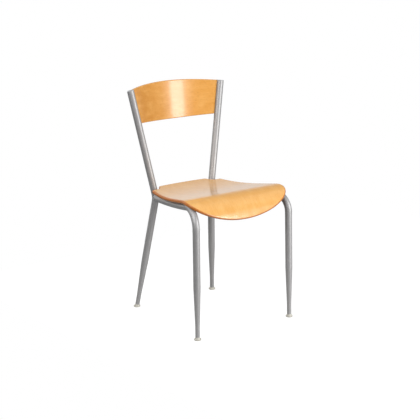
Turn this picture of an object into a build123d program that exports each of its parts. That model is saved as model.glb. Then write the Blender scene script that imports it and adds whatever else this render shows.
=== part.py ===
from build123d import *
import os
from math import atan, cos, degrees, radians, sin, sqrt, tan

# Stacking chair: bent steel tube frame, moulded plywood seat and curved plywood back.
# Millimetres, +Z up, the floor at z = 0. The sitter faces -Y, so the sitter's left is +X.

# Frame tube
TUBE_OD = 25.4
TUBE_WALL = 1.6
FOOT_OD = 16.0
TAPER_TOP = 187.0
TAPER_BOTTOM = 50.0
LEG_END = 11.0
KNEE_RADIUS = 76.0
RAIL_RADIUS = 2600.0
FRONT_LEG_LEAN = 1.54
WELD_STANDOFF = 3.0

# Frame layout
KNEE_X = 126.5
KNEE_Y = 135.05
RAIL_SPLAY = 12.54
REAR_FOOT_X = 176.5
REAR_FOOT_SET = 60.0
UPRIGHT_TOP_X = 202.8
UPRIGHT_TOP_SET = 43.3
UPRIGHT_TOP_Z = 826.0

# Cross rails under the seat
CROSS_OD = 19.0
CROSS_WALL = 1.5
FRONT_CROSS_AHEAD = 268.0
REAR_CROSS_AHEAD = 36.0

# Seat section, followed from the rear edge to the front lip
SEAT_THICKNESS = 12.0
SEAT_REAR_SET = 15.0
SEAT_REAR_Z = 466.5
SEAT_REAR_ANGLE = 5.06
DISH_RADIUS = 872.0
SEAT_RISE = 9.0
RISE_LENGTH = 83.4
LIP_RADIUS = 89.4
LIP_TURN_ANGLE = 83.1
LIP_LENGTH = 13.6

# Seat outline
SEAT_WIDTH = 436.4
WIDEST_FALL = 11.5
SEAT_CORNER_RADIUS = 67.0
SEAT_SIDE_RADIUS = 3800.0
REAR_BOW = 4.0
REAR_CORNER_RADIUS = 9.0
NOTCH_REACH = 26.0
NOTCH_CORNER_IN = 6.6
NOTCH_AHEAD = 20.0
NOTCH_RADIUS = 18.0
LIP_VIEW_ANGLE = 64.0
LIP_STEPS = 12

# Seat fixing
RAIL_GAP = 2.5
BEND_SLACK = 1.5
BEND_AHEAD_OF_LIP = 1.0
REAR_PAD_AHEAD = 62.0
PAD_OD = 18.0
SCREW_OD = 5.0
PAN_HEAD_OD = 10.0
PAN_HEAD_HEIGHT = 3.2
PAN_ACCESS_OD = 12.0
SEAT_SCREW_BITE = 8.5
SOCKET_ACROSS = 3.0
SOCKET_DEPTH = 1.4

# Back panel
BACK_THICKNESS = 10.0
BACK_HALF_ANGLE = 35.0
BACK_END_HEIGHT = 123.0
BACK_CROWN = 16.0
BACK_BOW = 3.0
BACK_EDGE_RADIUS = 3.0
TONGUE_PAST = 4.0
BACK_SCREW_MARGIN = 34.0
BACK_SCREW_BITE = 8.0
FLUSH_HEAD_OD = 8.6

# Floor glides and upright caps
GLIDE_OD = 25.0
GLIDE_RIM = 5.5
GLIDE_NECK_OD = 19.0
GLIDE_STEM = 24.0
CAP_THICKNESS = 2.0
CAP_PLUG = 12.0

# Clearances between pieces
PLUG_CLEARANCE = 0.1
SLOT_CLEARANCE = 0.25
HOLE_CLEARANCE = 0.25
HEAD_CLEARANCE = 0.5

TUBE_R = TUBE_OD / 2
BORE_R = TUBE_R - TUBE_WALL
FOOT_R = FOOT_OD / 2
FOOT_BORE_R = FOOT_R - TUBE_WALL
SCREW_R = SCREW_OD / 2
# Height above the rail axis at which the rim of a pan head meets the bore
PAN_BEARING = sqrt(BORE_R**2 - (PAN_HEAD_OD / 2) ** 2) - HEAD_CLEARANCE
HALF_SEAT = SEAT_WIDTH / 2

# The seat section is worked out as (forward, up) pairs, forward being -Y from the knee.


def along(point, angle, distance):
    a = radians(angle)
    return (point[0] + distance * cos(a), point[1] + distance * sin(a))


def below(point, angle, distance):
    a = radians(angle)
    return (point[0] + distance * sin(a), point[1] - distance * cos(a))


# Rear edge, dish, straight rise, lip bend and tip of the upper seat surface
SEAT_REAR = (-SEAT_REAR_SET, SEAT_REAR_Z)
DISH_CENTRE = below(SEAT_REAR, -SEAT_REAR_ANGLE, -DISH_RADIUS)
RISE_START = below(DISH_CENTRE, SEAT_RISE, DISH_RADIUS)
RISE_MIDDLE = along(RISE_START, SEAT_RISE, RISE_LENGTH / 2)
RISE_END = along(RISE_START, SEAT_RISE, RISE_LENGTH)
LIP_CENTRE = below(RISE_END, SEAT_RISE, LIP_RADIUS)
LIP_SLOPE = SEAT_RISE - LIP_TURN_ANGLE
LIP_END = below(LIP_CENTRE, LIP_SLOPE, -LIP_RADIUS)
WIDEST = below(LIP_CENTRE, -WIDEST_FALL, -LIP_RADIUS)

# Side rail, in the upright plane through the knee: (ahead, up) pairs
SPLAY = radians(RAIL_SPLAY)
PAD_AXIS = below(RISE_MIDDLE, SEAT_RISE, SEAT_THICKNESS + RAIL_GAP + TUBE_R)
RAIL_STATION = (PAD_AXIS[0] / cos(SPLAY), PAD_AXIS[1])
RAIL_SLOPE = atan(tan(radians(SEAT_RISE)) * cos(SPLAY))
RAIL_CENTRE = (
    RAIL_STATION[0] - RAIL_RADIUS * sin(RAIL_SLOPE),
    RAIL_STATION[1] + RAIL_RADIUS * cos(RAIL_SLOPE),
)


def rail_height(ahead, offset=0.0):
    reach = RAIL_RADIUS + offset
    return RAIL_CENTRE[1] - sqrt(reach**2 - (ahead - RAIL_CENTRE[0]) ** 2)


def rail_at(ahead, up):
    return Vector(KNEE_X + ahead * sin(SPLAY), KNEE_Y - ahead * cos(SPLAY), up)


# Front bend: tucked under the lip, tangent to the side rail and to the leg
BEND_RADIUS = LIP_RADIUS - SEAT_THICKNESS - TUBE_R + BEND_SLACK
BEND_AHEAD = (LIP_CENTRE[0] + BEND_AHEAD_OF_LIP) / cos(SPLAY)
BEND_CENTRE = (BEND_AHEAD, rail_height(BEND_AHEAD, BEND_RADIUS))
LEAN = radians(FRONT_LEG_LEAN)
RAIL_SHARE = RAIL_RADIUS / (RAIL_RADIUS + BEND_RADIUS)
RAIL_TANGENT = (
    RAIL_CENTRE[0] + (BEND_CENTRE[0] - RAIL_CENTRE[0]) * RAIL_SHARE,
    RAIL_CENTRE[1] + (BEND_CENTRE[1] - RAIL_CENTRE[1]) * RAIL_SHARE,
)
LEG_TANGENT = (
    BEND_CENTRE[0] + BEND_RADIUS * cos(LEAN),
    BEND_CENTRE[1] + BEND_RADIUS * sin(LEAN),
)
FOOT_AHEAD = LEG_TANGENT[0] + LEG_TANGENT[1] * tan(LEAN)

# Corner points of the left half of the frame
KNEE = rail_at(0, rail_height(0))
FRONT_FOOT = rail_at(FOOT_AHEAD, 0)
REAR_FOOT = Vector(REAR_FOOT_X, KNEE_Y + REAR_FOOT_SET, 0)
UPRIGHT_TOP = Vector(UPRIGHT_TOP_X, KNEE_Y + UPRIGHT_TOP_SET, UPRIGHT_TOP_Z)
UPRIGHT_DIR = (UPRIGHT_TOP - KNEE).normalized()
REAR_LEG_DIR = (KNEE - REAR_FOOT).normalized()
FRONT_LEG_DIR = (rail_at(*LEG_TANGENT) - FRONT_FOOT).normalized()
TUBE_TOP = UPRIGHT_TOP - UPRIGHT_DIR * CAP_THICKNESS

# Back panel: a part cone ruled between the two upright axes, which meet at APEX
BACK_PLANE_RISE = Vector(0, UPRIGHT_TOP.Y - KNEE.Y, UPRIGHT_TOP.Z - KNEE.Z)
RISE_DIR = BACK_PLANE_RISE.normalized()
SPREAD = (UPRIGHT_TOP.X - KNEE.X) / BACK_PLANE_RISE.length
APEX = Vector(0, UPRIGHT_TOP.Y, UPRIGHT_TOP.Z) - RISE_DIR * (UPRIGHT_TOP.X / SPREAD)
BACK_TOP = UPRIGHT_TOP.X / SPREAD
BACK_BOTTOM = BACK_TOP - BACK_END_HEIGHT
BACK_ANGLE = radians(BACK_HALF_ANGLE)


def cylinder_along(start, direction, radius, length):
    return extrude(Plane(origin=start, z_dir=direction) * Circle(radius), amount=length)


def solid_leg(foot, direction, path, full_r, foot_r):
    # Drawn-down lower leg turned about its own axis, then the full tube swept along the path.
    # Both meet at TAPER_TOP, so the same call gives the outside and the bore.
    lower = make_face(
        Polyline(
            (0, LEG_END),
            (foot_r, LEG_END),
            (foot_r, TAPER_BOTTOM),
            (full_r, TAPER_TOP),
            (0, TAPER_TOP),
            close=True,
        )
    )
    across = Plane(origin=foot, z_dir=direction).x_dir
    upright = Plane(origin=foot, x_dir=across, z_dir=across.cross(direction))
    turned = revolve(upright * lower, Axis(foot, direction), 360)
    start = foot + direction * TAPER_TOP
    upper = sweep(Plane(origin=start, z_dir=direction) * Circle(full_r), path=path)
    return turned + upper


def rear_path():
    # Lower leg, dogleg bend at the knee and upright, ending under the cap.
    turn = REAR_LEG_DIR.get_angle(UPRIGHT_DIR)
    setback = KNEE_RADIUS * tan(radians(turn / 2))
    first = KNEE - REAR_LEG_DIR * setback
    last = KNEE + UPRIGHT_DIR * setback
    inward = (UPRIGHT_DIR - REAR_LEG_DIR).normalized()
    middle = KNEE + inward * (KNEE_RADIUS / cos(radians(turn / 2)) - KNEE_RADIUS)
    start = REAR_FOOT + REAR_LEG_DIR * TAPER_TOP
    lower = Edge.make_line(start, first)
    bend = Edge.make_three_point_arc(first, middle, last)
    upper = Edge.make_line(last, TUBE_TOP)
    return Wire([lower, bend, upper])


def front_path():
    # Leg, front bend under the lip and the long gentle arc of the side rail.
    start = FRONT_FOOT + FRONT_LEG_DIR * TAPER_TOP
    leg_end = rail_at(*LEG_TANGENT)
    rail_start = rail_at(*RAIL_TANGENT)
    towards_leg = Vector(LEG_TANGENT[0] - BEND_CENTRE[0], LEG_TANGENT[1] - BEND_CENTRE[1], 0)
    towards_rail = Vector(RAIL_TANGENT[0] - BEND_CENTRE[0], RAIL_TANGENT[1] - BEND_CENTRE[1], 0)
    half_way = (towards_leg + towards_rail).normalized() * BEND_RADIUS
    bend_middle = rail_at(BEND_CENTRE[0] + half_way.X, BEND_CENTRE[1] + half_way.Y)
    rail_middle = rail_at(RAIL_TANGENT[0] / 2, rail_height(RAIL_TANGENT[0] / 2))
    rail_end = rail_at(WELD_STANDOFF, rail_height(WELD_STANDOFF))
    leg = Edge.make_line(start, leg_end)
    bend = Edge.make_three_point_arc(leg_end, bend_middle, rail_start)
    rail = Edge.make_three_point_arc(rail_start, rail_middle, rail_end)
    return Wire([leg, bend, rail])


def seat_curves():
    # Upper surface of the seat in the YZ plane, as the curves behind and ahead of the widest place.
    # The tip runs on by one thickness, for the front outline to trim.
    dish_middle = below(DISH_CENTRE, (SEAT_RISE - SEAT_REAR_ANGLE) / 2, DISH_RADIUS)
    crest = below(LIP_CENTRE, (SEAT_RISE - WIDEST_FALL) / 2, -LIP_RADIUS)
    lip_middle = below(LIP_CENTRE, (LIP_SLOPE - WIDEST_FALL) / 2, -LIP_RADIUS)
    tip = along(LIP_END, LIP_SLOPE, LIP_LENGTH + SEAT_THICKNESS)
    chain = [SEAT_REAR, dish_middle, RISE_START, RISE_END, crest, WIDEST, lip_middle, LIP_END, tip]
    p = [Vector(0, KNEE_Y - forward, up) for forward, up in chain]
    behind = [
        Edge.make_three_point_arc(p[0], p[1], p[2]),
        Edge.make_line(p[2], p[3]),
        Edge.make_three_point_arc(p[3], p[4], p[5]),
    ]
    ahead = [
        Edge.make_three_point_arc(p[5], p[6], p[7]),
        Edge.make_line(p[7], p[8]),
    ]
    return behind, ahead


def seat_plan():
    # Left half of the plan: bowed rear edge, corner notched round the upright, bowed side.
    rear_y = KNEE_Y + SEAT_REAR_SET
    widest_y = KNEE_Y - WIDEST[0]
    # The uprights lean outwards, so they are nearest to the seat at its underside.
    level = (SEAT_REAR_Z - 1.5 * SEAT_THICKNESS - KNEE.Z) / UPRIGHT_DIR.Z
    post = KNEE + UPRIGHT_DIR * level
    rear_end = Vector(post.X - NOTCH_REACH, rear_y - REAR_BOW)
    notch = Vector(post.X - NOTCH_CORNER_IN, post.Y - NOTCH_AHEAD)
    start = Vector(post.X + NOTCH_REACH, post.Y - NOTCH_AHEAD)
    rear_radius = (rear_end.X**2 + REAR_BOW**2) / (2 * REAR_BOW)
    mid_x = rear_end.X / 2
    mid_rear = Vector(mid_x, rear_y - rear_radius + sqrt(rear_radius**2 - mid_x**2))
    # The side arc runs from the notch and ends tangent to the front corner arc.
    corner = Vector(HALF_SEAT - SEAT_CORNER_RADIUS, widest_y)
    span = start - corner
    reach = SEAT_SIDE_RADIUS - SEAT_CORNER_RADIUS
    part_way = (reach**2 - SEAT_SIDE_RADIUS**2 + span.length**2) / (2 * span.length)
    aside = Vector(-span.Y, span.X).normalized() * sqrt(reach**2 - part_way**2)
    side_centre = corner + span.normalized() * part_way + aside
    outward = (corner - side_centre).normalized()
    tangent = corner + outward * SEAT_CORNER_RADIUS
    mid_side = side_centre + ((start + tangent) / 2 - side_centre).normalized() * SEAT_SIDE_RADIUS
    mid_corner = corner + (outward + Vector(1, 0)).normalized() * SEAT_CORNER_RADIUS
    widest = Vector(HALF_SEAT, widest_y)
    front_y = widest_y - LIP_RADIUS
    half = [
        ThreePointArc((0, rear_y), mid_rear, rear_end),
        Line(rear_end, notch),
        Line(notch, start),
        ThreePointArc(start, mid_side, tangent),
        ThreePointArc(tangent, mid_corner, widest),
        Line(widest, (HALF_SEAT, front_y)),
        Line((HALF_SEAT, front_y), (0, front_y)),
        Line((0, front_y), (0, rear_y)),
    ]
    outline = make_face(half)
    rounds = {rear_end: REAR_CORNER_RADIUS, notch: NOTCH_RADIUS, start: REAR_CORNER_RADIUS}
    for corner_point, radius in rounds.items():
        outline = fillet(outline.vertices().sort_by_distance(corner_point)[0], radius)
    return extrude(outline, amount=UPRIGHT_TOP_Z)


def lip_point(length):
    # Point on the upper surface, a developed length forward of the widest place.
    bend = LIP_RADIUS * radians(-LIP_SLOPE - WIDEST_FALL)
    if length < bend:
        return below(LIP_CENTRE, -WIDEST_FALL - degrees(length / LIP_RADIUS), -LIP_RADIUS)
    return along(LIP_END, LIP_SLOPE, length - bend)


def lip_outline():
    # Left half of the front curve: an ellipse on the flat blank, wrapped over the lip.
    view = radians(LIP_VIEW_ANGLE)
    depth = LIP_RADIUS * radians(-LIP_SLOPE - WIDEST_FALL) + LIP_LENGTH
    curve = []
    for step in range(LIP_STEPS + 1):
        turn = radians(90 * step / LIP_STEPS)
        forward, up = lip_point(depth * sin(turn))
        drop = (forward - WIDEST[0]) * cos(view) + (WIDEST[1] - up) * sin(view)
        curve.append((HALF_SEAT * cos(turn), -drop))
    plane = Plane(
        origin=(0, KNEE_Y - WIDEST[0], WIDEST[1]),
        x_dir=(1, 0, 0),
        z_dir=(0, -sin(view), cos(view)),
    )
    block = make_face(
        [
            Spline(curve),
            Line((HALF_SEAT, 0), (HALF_SEAT, LIP_RADIUS)),
            Line((HALF_SEAT, LIP_RADIUS), (0, LIP_RADIUS)),
            Line((0, LIP_RADIUS), curve[-1]),
        ]
    )
    return extrude(plane * block, amount=SEAT_WIDTH, both=True)


def make_seat():
    # The trimmed upper surface, thickened square to itself.
    behind, ahead = seat_curves()
    pieces = []
    for curves, outline in ((behind, seat_plan()), (ahead, lip_outline())):
        for curve in curves:
            skin = Face.extrude(curve, Vector(SEAT_WIDTH, 0, 0)) & outline
            face = skin.faces()[0]
            downward = -1 if face.normal_at().Z > 0 else 1
            pieces.append(Solid.thicken(face, downward * SEAT_THICKNESS))
    half = pieces[0].fuse(*pieces[1:]).clean()
    return half.fuse(mirror(half, about=Plane.YZ)).clean()


def back_section(w, thickness, past):
    # Ring sector across the uprights at distance w from the apex.
    half = w * SPREAD
    radius = half / sin(BACK_ANGLE)
    centre = -half / tan(BACK_ANGLE)
    outer = radius + thickness / 2
    inner = radius - thickness / 2
    end = BACK_ANGLE + past / radius
    face = make_face(
        [
            ThreePointArc(
                (-outer * sin(end), centre + outer * cos(end)),
                (0, centre + outer),
                (outer * sin(end), centre + outer * cos(end)),
            ),
            Line(
                (outer * sin(end), centre + outer * cos(end)),
                (inner * sin(end), centre + inner * cos(end)),
            ),
            ThreePointArc(
                (inner * sin(end), centre + inner * cos(end)),
                (0, centre + inner),
                (-inner * sin(end), centre + inner * cos(end)),
            ),
            Line(
                (-inner * sin(end), centre + inner * cos(end)),
                (-outer * sin(end), centre + outer * cos(end)),
            ),
        ]
    )
    return Plane(origin=APEX + RISE_DIR * w, x_dir=(1, 0, 0), z_dir=RISE_DIR) * face


def back_blank(thickness, past, low, high):
    return loft([back_section(low, thickness, past), back_section(high, thickness, past)], ruled=True)


def edge_arc(w, rise, reach):
    # Three points of an arc that passes through the upright axes at w and rises in the middle.
    half = w * SPREAD
    radius = (half**2 + rise**2) / (2 * rise)
    drop = radius - sqrt(radius**2 - reach**2)
    return (-reach, w + rise - drop), (0, w + rise), (reach, w + rise - drop)


def make_back():
    high = BACK_TOP + 2 * BACK_CROWN
    low = BACK_BOTTOM - 4 * BACK_BOW
    blank = back_blank(BACK_THICKNESS, TONGUE_PAST, low, high)
    reach = UPRIGHT_TOP.X + TUBE_R
    top = edge_arc(BACK_TOP, BACK_CROWN, reach)
    bottom = edge_arc(BACK_BOTTOM, BACK_BOW, reach)
    bottom = [(x, 2 * BACK_BOTTOM - w) for x, w in bottom]
    outline = make_face(
        [
            ThreePointArc(*top),
            Line(top[2], bottom[2]),
            ThreePointArc(*bottom),
            Line(bottom[0], top[0]),
        ]
    )
    plane = Plane(origin=APEX, x_dir=(1, 0, 0), z_dir=Vector(1, 0, 0).cross(RISE_DIR))
    panel = blank & extrude(plane * outline, amount=BACK_TOP, both=True)
    long_edges = panel.edges().filter_by(lambda e: e.length > 1.5 * BACK_END_HEIGHT)
    return fillet(long_edges, BACK_EDGE_RADIUS)


def back_slot():
    # The same panel, thicker by the clearance and open at the top of the tube.
    inside = edge_arc(BACK_BOTTOM, BACK_BOW, BACK_BOTTOM * SPREAD - TUBE_OD)[2]
    return back_blank(
        BACK_THICKNESS + 2 * SLOT_CLEARANCE,
        TONGUE_PAST + SLOT_CLEARANCE,
        2 * BACK_BOTTOM - inside[1] - SLOT_CLEARANCE,
        BACK_TOP + BACK_CROWN,
    )


def make_cap():
    disc = cylinder_along(TUBE_TOP, UPRIGHT_DIR, TUBE_R, CAP_THICKNESS)
    disc = fillet(disc.edges().sort_by(Axis.Z)[-1], CAP_THICKNESS / 2)
    plug = cylinder_along(TUBE_TOP, -UPRIGHT_DIR, BORE_R - PLUG_CLEARANCE, CAP_PLUG)
    return disc + plug


def cap_recess():
    # Room in the panel tongue for the cap and its plug.
    disc = cylinder_along(TUBE_TOP, UPRIGHT_DIR, TUBE_R + SLOT_CLEARANCE, 2 * BACK_CROWN)
    plug = cylinder_along(TUBE_TOP, -UPRIGHT_DIR, BORE_R, CAP_PLUG + SLOT_CLEARANCE)
    return disc + plug


def make_glide(foot, direction):
    # Flat rim on the floor, flared neck up to the tube end and a stem pressed into the leg.
    rim = extrude(Plane(origin=(foot.X, foot.Y, 0)) * Circle(GLIDE_OD / 2), amount=GLIDE_RIM)
    rim = fillet(rim.edges().filter_by(GeomType.CIRCLE), GLIDE_RIM / 4)
    low = foot + direction * (GLIDE_RIM / direction.Z)
    neck = loft(
        [
            Plane(origin=low) * Circle(GLIDE_NECK_OD / 2),
            Plane(origin=foot + direction * LEG_END, z_dir=direction) * Circle(FOOT_R),
        ]
    )
    stem_start = foot + direction * LEG_END
    stem = cylinder_along(stem_start, direction, FOOT_BORE_R - PLUG_CLEARANCE, GLIDE_STEM)
    return rim + neck + stem


def socket(point, direction):
    # Hexagon drive recess, cut into a head from the point along the direction.
    corner = SOCKET_ACROSS / sqrt(3)
    return extrude(Plane(origin=point, z_dir=direction) * RegularPolygon(corner, 6), amount=SOCKET_DEPTH)


def pan_screw(axis_point, up, length):
    # Pan head bearing inside the upper half of the rail, shank running up into the seat.
    low = axis_point + up * (PAN_BEARING - PAN_HEAD_HEIGHT)
    head = cylinder_along(low, up, PAN_HEAD_OD / 2, PAN_HEAD_HEIGHT)
    low_edge = head.edges().filter_by(GeomType.CIRCLE).sort_by_distance(axis_point)[0]
    head = fillet(low_edge, PAN_HEAD_HEIGHT / 4)
    return head + cylinder_along(low + up * SOCKET_DEPTH, up, SCREW_R, length) - socket(low, up)


def countersink(point, forward, clearance):
    # Square-angled cone with its wide end at the point.
    wide = FLUSH_HEAD_OD / 2 + clearance
    narrow = SCREW_R + clearance
    return loft(
        [
            Plane(origin=point, z_dir=forward) * Circle(wide),
            Plane(origin=point + forward * (wide - narrow), z_dir=forward) * Circle(narrow),
        ]
    )


def flush_screw(point, forward, length):
    # Countersunk head, finished flush with the round of the upright.
    whole = countersink(point, forward, 0) + cylinder_along(point, forward, SCREW_R, length)
    return (whole & rear_outer) - socket(point, forward)


def pad_places():
    # Rail axis point, direction square to the seat and distance from axis to seat underside.
    front_up = Vector(0, sin(radians(SEAT_RISE)), cos(radians(SEAT_RISE)))
    front = (rail_at(*RAIL_STATION), front_up, TUBE_R + RAIL_GAP)
    rear_axis = rail_at(REAR_PAD_AHEAD, rail_height(REAR_PAD_AHEAD))
    centre = Vector(rear_axis.X, KNEE_Y - DISH_CENTRE[0], DISH_CENTRE[1])
    inward = centre - rear_axis
    rear = (rear_axis, inward.normalized(), inward.length - DISH_RADIUS - SEAT_THICKNESS)
    return {"front": front, "rear": rear}


def back_screw_places():
    # Points on the upright axis and the direction square to the panel, pointing forward.
    span = BACK_TOP - BACK_BOTTOM
    stretch = sqrt(1 + SPREAD**2)
    rearward = RISE_DIR.cross(Vector(1, 0, 0))
    outward = Vector(1, 0, 0) * sin(BACK_ANGLE) + rearward * cos(BACK_ANGLE)
    square = (outward - UPRIGHT_DIR * outward.dot(UPRIGHT_DIR)).normalized()
    top = UPRIGHT_TOP - UPRIGHT_DIR * (BACK_SCREW_MARGIN * stretch)
    low = UPRIGHT_TOP - UPRIGHT_DIR * ((span - BACK_SCREW_MARGIN) * stretch)
    return [(point, -square) for point in (top, low)]


# Whole tubes before they are bored, coped and drilled
rear_outer = solid_leg(REAR_FOOT, REAR_LEG_DIR, rear_path(), TUBE_R, FOOT_R)
rear_bore = solid_leg(REAR_FOOT, REAR_LEG_DIR, rear_path(), BORE_R, FOOT_BORE_R)
front_outer = solid_leg(FRONT_FOOT, FRONT_LEG_DIR, front_path(), TUBE_R, FOOT_R)
front_bore = solid_leg(FRONT_FOOT, FRONT_LEG_DIR, front_path(), BORE_R, FOOT_BORE_R)

rear_leg = rear_outer - rear_bore - back_slot()
front_leg = front_outer - front_bore - rear_outer
seat = make_seat()
back = make_back()
both_rails = front_outer + mirror(front_outer, about=Plane.YZ)


def make_cross_rail(ahead):
    # Straight tube between the side rails, its ends coped to sit against them.
    end = rail_at(ahead, rail_height(ahead))
    start = Vector(-end.X, end.Y, end.Z)
    outer = cylinder_along(start, Vector(1, 0, 0), CROSS_OD / 2, 2 * end.X)
    bore = cylinder_along(start, Vector(1, 0, 0), CROSS_OD / 2 - CROSS_WALL, 2 * end.X)
    return outer - bore - both_rails


front_cross = make_cross_rail(FRONT_CROSS_AHEAD)
rear_cross = make_cross_rail(REAR_CROSS_AHEAD)

# Pads, screws and their holes
pads = {}
seat_screws = []
for place, (axis_point, up, reach) in pad_places().items():
    pad = cylinder_along(axis_point, up, PAD_OD / 2, reach + SEAT_THICKNESS / 2)
    hole = cylinder_along(axis_point, up, SCREW_R + HOLE_CLEARANCE, reach + SEAT_THICKNESS)
    access = cylinder_along(axis_point, -up, PAN_ACCESS_OD / 2, TUBE_OD)
    pads[place] = pad - front_outer - seat - hole
    front_leg = front_leg - hole - access
    tip = reach + SEAT_SCREW_BITE
    shank = tip - (PAN_BEARING - PAN_HEAD_HEIGHT + SOCKET_DEPTH)
    seat_screws.append(pan_screw(axis_point, up, shank))
    pilot = cylinder_along(axis_point, up, SCREW_R, tip)
    seat = seat - pilot - mirror(pilot, about=Plane.YZ)

back_screws = []
for axis_point, forward in back_screw_places():
    surface = axis_point - forward * TUBE_R
    shank = TUBE_R - BACK_THICKNESS / 2 + BACK_SCREW_BITE
    hole = cylinder_along(surface, forward, SCREW_R + HOLE_CLEARANCE, TUBE_R)
    rear_leg = rear_leg - hole - countersink(surface, forward, PLUG_CLEARANCE)
    back_screws.append(flush_screw(surface, forward, shank))
    pilot = cylinder_along(surface, forward, SCREW_R, shank)
    back = back - pilot - mirror(pilot, about=Plane.YZ)
back = back - cap_recess() - mirror(cap_recess(), about=Plane.YZ)

nodes = {
    "seat_shell": seat,
    "back_panel": back,
    "front_cross_rail": front_cross,
    "rear_cross_rail": rear_cross,
}
handed = {
    "rear_leg": rear_leg,
    "front_leg": front_leg,
    "rear_glide": make_glide(REAR_FOOT, REAR_LEG_DIR),
    "front_glide": make_glide(FRONT_FOOT, FRONT_LEG_DIR),
    "upright_cap": make_cap(),
    "front_seat_pad": pads["front"],
    "rear_seat_pad": pads["rear"],
}
for name, shape in handed.items():
    nodes["left_" + name] = shape
    nodes["right_" + name] = mirror(shape, about=Plane.YZ)
nodes["seat_screws"] = Compound([p.solid() for s in seat_screws for p in (s, mirror(s, about=Plane.YZ))])
nodes["back_screws"] = Compound([p.solid() for s in back_screws for p in (s, mirror(s, about=Plane.YZ))])

os.makedirs("parts", exist_ok=True)
for name, shape in nodes.items():
    export_step(shape, "parts/" + name + ".step")
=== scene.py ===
from math import asin, atan2, cos, hypot, pi, radians, sin, sqrt, tan

import bmesh
import bpy
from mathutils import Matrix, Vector


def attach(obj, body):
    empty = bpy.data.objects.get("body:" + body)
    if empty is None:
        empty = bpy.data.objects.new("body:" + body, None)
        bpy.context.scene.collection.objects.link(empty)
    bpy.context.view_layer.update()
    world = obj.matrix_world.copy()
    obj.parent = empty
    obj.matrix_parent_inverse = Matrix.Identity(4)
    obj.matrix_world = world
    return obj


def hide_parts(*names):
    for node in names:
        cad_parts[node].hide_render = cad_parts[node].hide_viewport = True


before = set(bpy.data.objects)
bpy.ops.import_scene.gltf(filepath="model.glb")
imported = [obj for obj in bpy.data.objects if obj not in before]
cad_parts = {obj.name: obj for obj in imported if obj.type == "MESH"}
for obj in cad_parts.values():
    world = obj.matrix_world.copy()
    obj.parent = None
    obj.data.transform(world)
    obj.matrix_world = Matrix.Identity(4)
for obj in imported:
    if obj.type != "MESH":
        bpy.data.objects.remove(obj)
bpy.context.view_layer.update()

# Stacking chair: silver-coated steel tube, with a seat and a back of moulded beech plywood.
# Its sizes are in millimetres, in its own frame: +Z up, the floor at 0, the sitter facing -Y.
MM = 0.001

# Frame tube
TUBE_RADIUS = 12.7
CROSS_RADIUS = 9.5
KNEE = Vector((126.5, 135.05, 427.16))
UPRIGHT_TOP = Vector((202.8, 178.35, 826.0))
FRONT_CROSS_END = Vector((184.69, -126.56, 456.39))
REAR_CROSS_END = Vector((134.32, 99.91, 429.45))

# Seat section, followed over the upper surface from the rear edge to the front lip
SEAT_REAR_Y = 150.05
SEAT_REAR_Z = 466.5
SEAT_REAR_FALL = 5.06
DISH_RADIUS = 872.0
SEAT_RISE = 9.0
RISE_LENGTH = 83.4
LIP_RADIUS = 89.4
LIP_TURN = 83.1
LIP_LENGTH = 13.6
SEAT_THICKNESS = 12.0

# Seat outline: the part behind the widest place is measured in plan, the lip on the flat blank
HALF_SEAT = 218.2
WIDEST_FORWARD = 327.5
SIDE_RADIUS = 3800.0
SIDE_CORNER_RADIUS = 67.0
POST_X = 130.58
POST_FORWARD = 12.68
REAR_BOW = 4.0
NOTCH_REACH = 26.0
NOTCH_CORNER_IN = 6.6
NOTCH_AHEAD = 20.0
NOTCH_RADIUS = 18.0
REAR_CORNER_RADIUS = 9.0
SEAT_EDGE_EASE = 5.0

# Back panel: part of a cone ruled between the two upright axes
BACK_HALF_ANGLE = 35.0
BACK_THICKNESS = 10.0
BACK_END_HEIGHT = 123.0
BACK_CROWN = 16.0
BACK_BOW = 3.0
BACK_EDGE_EASE = 3.0
BACK_ENTRY = 0.4

# Welds: a bead with the ripples that the torch leaves, along the seam between two tubes. The seam
# is found from a ring set back from the tube's end, at a share of the tube's radius.
WELD_RADIUS = 2.3
WELD_RIPPLE = 0.06
WELD_RIPPLE_PITCH = 2.0
WELD_SETBACK = 25.0
SEAM_SHARE = 0.97

# Plywood: one ply, the rise and fall of the lacquer film, and how far from the middle the
# painted shade across the back reaches. The back is cut from another place along the veneer, so
# its figure isn't the seat's.
PLY = 1.33
FILM_WAVE = 0.25
SHADE_FADE = 190.0
BACK_CUT_FROM = 1400.0

# Patterns: the size of one cell, in wood along the grain, across it and through the sheet, and the
# height of the relief that they give a surface
RIGHT_THROUGH = 1000.0
FIGURE_CELL = (420.0, 42.0)
CLOUD_CELL = (46.0, 26.0)
STREAK_CELL = (90.0, 3.0)
FLECK_CELL = (11.0, 2.0)
PORE_CELL = (4.0, 4.0, 1.5)
FLAKE_CELL = 1.6
COAT_DRIFT_CELL = 70.0
PEEL_CELL = 3.0
PLASTIC_DRIFT_CELL = 9.0
MOULD_SKIN_CELL = 0.8
PASSIVATION_CELL = 3.0
RELIEF = 0.05

# Meshes: their spacing, and the rough lengths of the seat's sides that set their number of faces
SPACING = 3.0
ARC_STEP = SPACING / 4
REAR_SPAN = 300.0
SIDE_SPAN = 360.0
FRONT_STEPS = 180
EASE_STEPS = 5
EDGE_TRIES = 4
SEAM_POINTS = 120
SEAM_STEP = 0.5
BEAD_SIDES = 12

# The stage is in metres. Floor, with the light that it is given where the camera sees it, and
# where the chair mirrors it
FLOOR_X = (-0.55, 1.6)
FLOOR_Y = (-1.6, 0.9)
FLOOR_LIFT = 0.78
FLOOR_MIRRORED = 0.1
PAPER = "#A4A4A4"
WHITE = "#FFFFFF"

# Room: its light below and above, and the heights, at a distance of 1, between which it changes
ROOM_LIGHT = (0.05, 0.30)
ROOM_RISE = (-0.2, 0.6)

# Backdrop: its light, and where that starts and where it is full. At the sides this is the cosine
# of the angle from its middle, and at the top and foot the height at a distance of 1.
BACKDROP_LIGHT = 0.84
BACKDROP_SIDES = (0.5, 0.9)
BACKDROP_TOP = (0.6, 0.2)
BACKDROP_FOOT = (-0.28, -0.08)

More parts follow.
